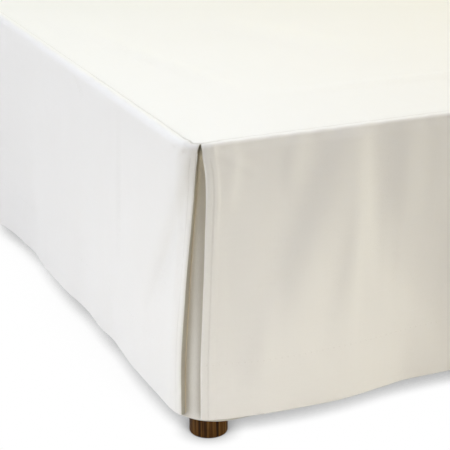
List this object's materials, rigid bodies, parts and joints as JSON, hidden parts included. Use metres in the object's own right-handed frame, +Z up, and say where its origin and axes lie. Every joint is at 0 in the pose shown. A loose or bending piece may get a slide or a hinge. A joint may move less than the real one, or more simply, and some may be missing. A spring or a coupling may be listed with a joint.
{
  "type": "bed skirt on a bed base",
  "caption": "Tailored bed skirt with a flat deck, plain drops and split foot corners backed by inserts, fitted over a plain bed base on round legs.",
  "frame": {"origin": "on the floor, under the middle of the whole thing", "axes": "+Z up, +Y from the foot of the bed towards its head, +X to the right seen from the foot"},
  "size_m": [1.0163, 1.9224, 0.3879],
  "materials": {
    "white_cotton": "plain woven cotton, white, soft and matte",
    "base_cloth": "plain woven base cover, oatmeal, matte",
    "dark_wood": "dark brown stained wood, satin"
  },
  "bodies": {
    "root": {"deck": "white_cotton", "foot_panel": "white_cotton", "side_panel_right": "white_cotton", "side_panel_left": "white_cotton", "corner_insert_right": "white_cotton", "corner_insert_left": "white_cotton", "bed_base": "base_cloth", "leg_foot_right": "dark_wood", "leg_foot_left": "dark_wood", "leg_head_right": "dark_wood", "leg_head_left": "dark_wood"}
  },
  "joints": []
}
